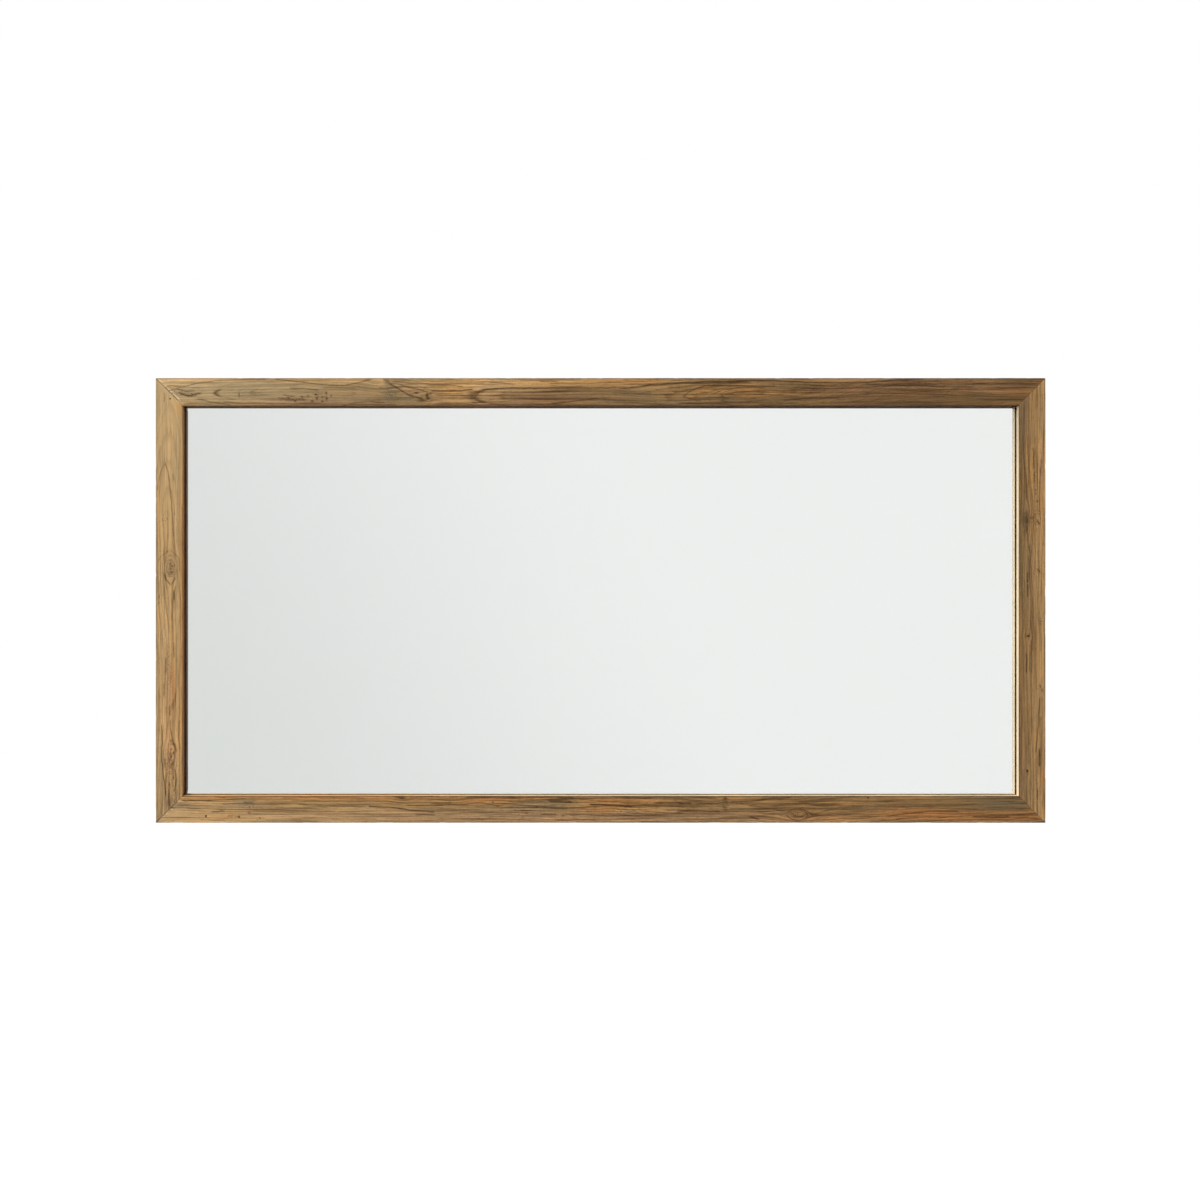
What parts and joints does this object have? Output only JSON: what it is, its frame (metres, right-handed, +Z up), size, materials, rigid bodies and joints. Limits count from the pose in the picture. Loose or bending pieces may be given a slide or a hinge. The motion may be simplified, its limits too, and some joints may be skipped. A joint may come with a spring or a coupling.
{
  "type": "wall mirror",
  "caption": "Wide rectangular wall mirror in a flat mitred frame of reclaimed teak, with a backing board, corner plates, bumpers and D-ring hangers behind.",
  "frame": {"origin": "the middle of the mirror on the plane of the wall behind it, which the four rubber bumpers touch", "axes": "+X to the right as the mirror is looked at, +Y into the wall so that the glass faces -Y, +Z up"},
  "size_m": [1.8, 0.041, 0.9],
  "materials": {
    "teak": "matt, reclaimed teak, lightly oiled",
    "float_glass": "clear polished float glass",
    "silver": "mirror silvering with a painted back",
    "plywood": "raw plywood",
    "zinc_screws": "yellow zinc plated",
    "zinc_plate": "bright zinc plated",
    "steel_wire": "nickel plated wire",
    "beech": "pressed beech",
    "foam": "black foam tape",
    "packer_rubber": "black rubber",
    "bumper_rubber": "matt dark rubber"
  },
  "bodies": {
    "frame": {"bottom_rail": "teak", "top_rail": "teak", "left_stile": "teak", "right_stile": "teak", "mirror_glass": "float_glass", "silvering": "silver", "backing_board": "plywood", "backing_board_screws": "zinc_screws", "corner_plate_screws": "zinc_screws", "hanger_screws": "zinc_screws", "wall_bumper_screws": "zinc_screws", "glass_packer_bottom_left": "packer_rubber", "glass_packer_bottom_right": "packer_rubber", "glass_packer_side_lower": "packer_rubber", "glass_packer_side_upper": "packer_rubber", "mitre_biscuit_bottom_left": "beech", "corner_plate_bottom_left": "zinc_plate", "wall_bumper_bottom_left": "bumper_rubber", "mitre_biscuit_bottom_right": "beech", "corner_plate_bottom_right": "zinc_plate", "wall_bumper_bottom_right": "bumper_rubber", "mitre_biscuit_top_right": "beech", "corner_plate_top_right": "zinc_plate", "wall_bumper_top_right": "bumper_rubber", "mitre_biscuit_top_left": "beech", "corner_plate_top_left": "zinc_plate", "wall_bumper_top_left": "bumper_rubber", "foam_tape_bottom": "foam", "hanger_strap_bottom": "zinc_plate", "foam_tape_right": "foam", "hanger_strap_right": "zinc_plate", "foam_tape_top": "foam", "hanger_strap_top": "zinc_plate", "foam_tape_left": "foam", "hanger_strap_left": "zinc_plate"},
    "left_ring": {"hanger_ring_left": "steel_wire"},
    "right_ring": {"hanger_ring_right": "steel_wire"},
    "top_ring": {"hanger_ring_top": "steel_wire"},
    "bottom_ring": {"hanger_ring_bottom": "steel_wire"}
  },
  "joints": [
    {"name": "left_ring_swing", "type": "hinge", "parent": "frame", "child": "left_ring", "pos_m": [-0.883, -0.0052, 0.3], "axis": [1, 0, 0], "range_deg": [0, 180]},
    {"name": "right_ring_swing", "type": "hinge", "parent": "frame", "child": "right_ring", "pos_m": [0.883, -0.0052, 0.3], "axis": [1, 0, 0], "range_deg": [0, 180]},
    {"name": "top_ring_swing", "type": "hinge", "parent": "frame", "child": "top_ring", "pos_m": [-0.6, -0.0052, 0.433], "axis": [0, 0, 1], "range_deg": [0, 180]},
    {"name": "bottom_ring_swing", "type": "hinge", "parent": "frame", "child": "bottom_ring", "pos_m": [-0.6, -0.0052, -0.433], "axis": [0, 0, 1], "range_deg": [0, 180]}
  ]
}
